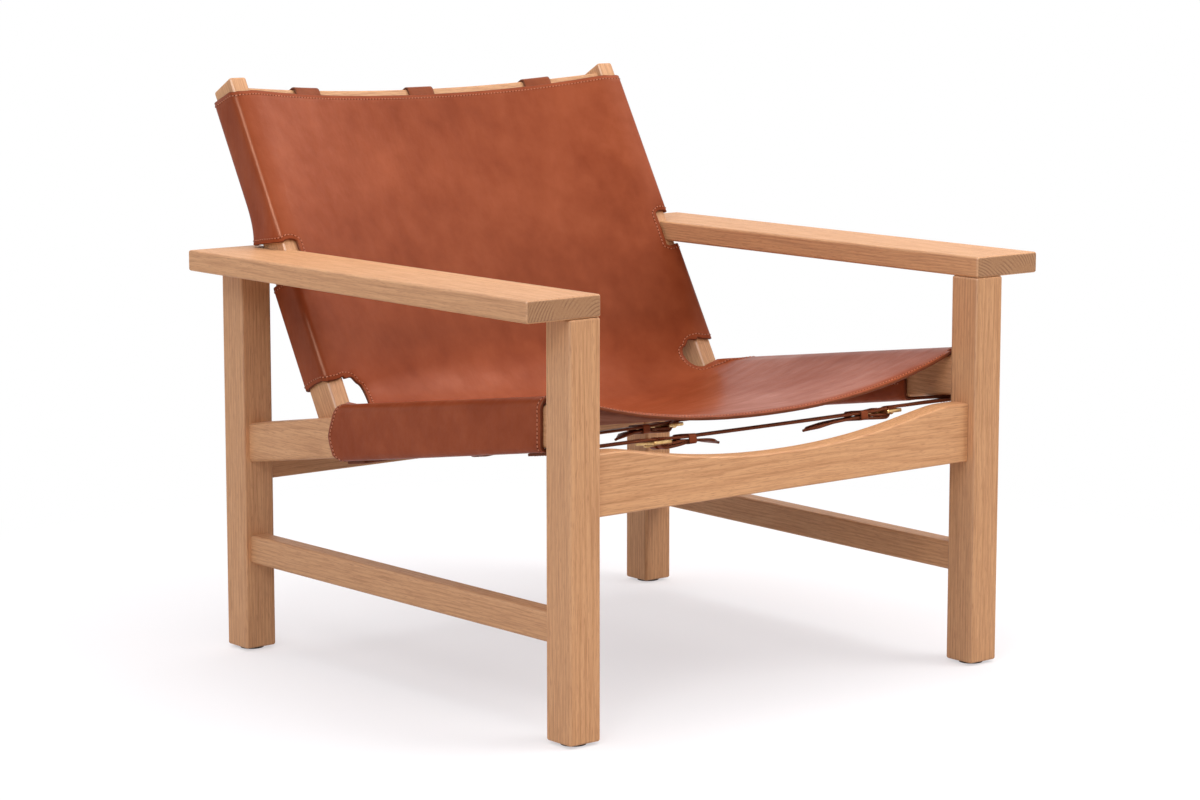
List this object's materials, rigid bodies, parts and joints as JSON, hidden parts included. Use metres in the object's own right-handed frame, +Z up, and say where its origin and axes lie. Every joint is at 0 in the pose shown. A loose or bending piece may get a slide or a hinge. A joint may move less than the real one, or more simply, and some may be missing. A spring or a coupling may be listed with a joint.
{
  "type": "leather sling lounge chair",
  "caption": "Low oak lounge chair with flat armrests and a raked back; one leather sling forms seat and back and is drawn tight round rails and posts by buckled straps.",
  "frame": {"origin": "on the floor under the middle of the chair's bounding box", "axes": "+X to the right of someone who faces the chair, +Y from the front of the chair to its back, +Z up"},
  "size_m": [0.811, 0.7718, 0.7264],
  "materials": {
    "oak": "oiled solid oak",
    "sling_leather": "vegetable-tanned saddle leather, waxed, cognac brown",
    "strap_leather": "saddle leather, darker brown",
    "brass": "cast and polished brass",
    "glide": "matt dark nylon"
  },
  "bodies": {
    "chair": {"leg_front_left": "oak", "leg_front_right": "oak", "leg_rear_left": "oak", "leg_rear_right": "oak", "armrest_left": "oak", "armrest_right": "oak", "front_apron": "oak", "rear_apron": "oak", "seat_rail_left": "oak", "seat_rail_right": "oak", "side_stretcher_left": "oak", "side_stretcher_right": "oak", "back_post_left": "oak", "back_post_right": "oak", "top_rail": "oak", "glide_front_left": "glide", "glide_front_right": "glide", "glide_rear_left": "glide", "glide_rear_right": "glide", "sling": "sling_leather", "loop_left": "strap_leather", "loop_middle": "strap_leather", "loop_right": "strap_leather", "strap_seat_front": "strap_leather", "billet_seat_front_left": "strap_leather", "buckle_seat_front_left": "brass", "billet_seat_front_right": "strap_leather", "buckle_seat_front_right": "brass", "strap_seat_rear": "strap_leather", "billet_seat_rear_left": "strap_leather", "buckle_seat_rear_left": "brass", "billet_seat_rear_right": "strap_leather", "buckle_seat_rear_right": "brass", "strap_back_lower": "strap_leather", "billet_back_lower_left": "strap_leather", "buckle_back_lower_left": "brass", "billet_back_lower_right": "strap_leather", "buckle_back_lower_right": "brass", "strap_back_upper": "strap_leather", "billet_back_upper_left": "strap_leather", "buckle_back_upper_left": "brass", "billet_back_upper_right": "strap_leather", "buckle_back_upper_right": "brass"},
    "prong_seat_front_left_body": {"prong_seat_front_left": "brass"},
    "prong_seat_front_right_body": {"prong_seat_front_right": "brass"},
    "prong_seat_rear_left_body": {"prong_seat_rear_left": "brass"},
    "prong_seat_rear_right_body": {"prong_seat_rear_right": "brass"},
    "prong_back_lower_left_body": {"prong_back_lower_left": "brass"},
    "prong_back_lower_right_body": {"prong_back_lower_right": "brass"},
    "prong_back_upper_left_body": {"prong_back_upper_left": "brass"},
    "prong_back_upper_right_body": {"prong_back_upper_right": "brass"}
  },
  "joints": [
    {"name": "prong_seat_front_left_hinge", "type": "hinge", "parent": "chair", "child": "prong_seat_front_left_body", "pos_m": [-0.15, -0.31161, 0.32381], "axis": [0, -0.9879, 0.1554], "range_deg": [0, 75]},
    {"name": "prong_seat_front_right_hinge", "type": "hinge", "parent": "chair", "child": "prong_seat_front_right_body", "pos_m": [0.205, -0.31161, 0.32381], "axis": [0, 0.9879, -0.1554], "range_deg": [0, 75]},
    {"name": "prong_seat_rear_left_hinge", "type": "hinge", "parent": "chair", "child": "prong_seat_rear_left_body", "pos_m": [-0.15, 0.03739, 0.26891], "axis": [0, -0.9879, 0.1554], "range_deg": [0, 75]},
    {"name": "prong_seat_rear_right_hinge", "type": "hinge", "parent": "chair", "child": "prong_seat_rear_right_body", "pos_m": [0.15, 0.03739, 0.26891], "axis": [0, 0.9879, -0.1554], "range_deg": [0, 75]},
    {"name": "prong_back_lower_left_hinge", "type": "hinge", "parent": "chair", "child": "prong_back_lower_left_body", "pos_m": [-0.1, 0.2161, 0.39845], "axis": [0, -0.4955, -0.8686], "range_deg": [0, 75]},
    {"name": "prong_back_lower_right_hinge", "type": "hinge", "parent": "chair", "child": "prong_back_lower_right_body", "pos_m": [0.1, 0.2161, 0.39845], "axis": [0, 0.4955, 0.8686], "range_deg": [0, 75]},
    {"name": "prong_back_upper_left_hinge", "type": "hinge", "parent": "chair", "child": "prong_back_upper_left_body", "pos_m": [-0.1, 0.31519, 0.57218], "axis": [0, -0.4955, -0.8686], "range_deg": [0, 75]},
    {"name": "prong_back_upper_right_hinge", "type": "hinge", "parent": "chair", "child": "prong_back_upper_right_body", "pos_m": [0.1, 0.31519, 0.57218], "axis": [0, 0.4955, 0.8686], "range_deg": [0, 75]}
  ]
}
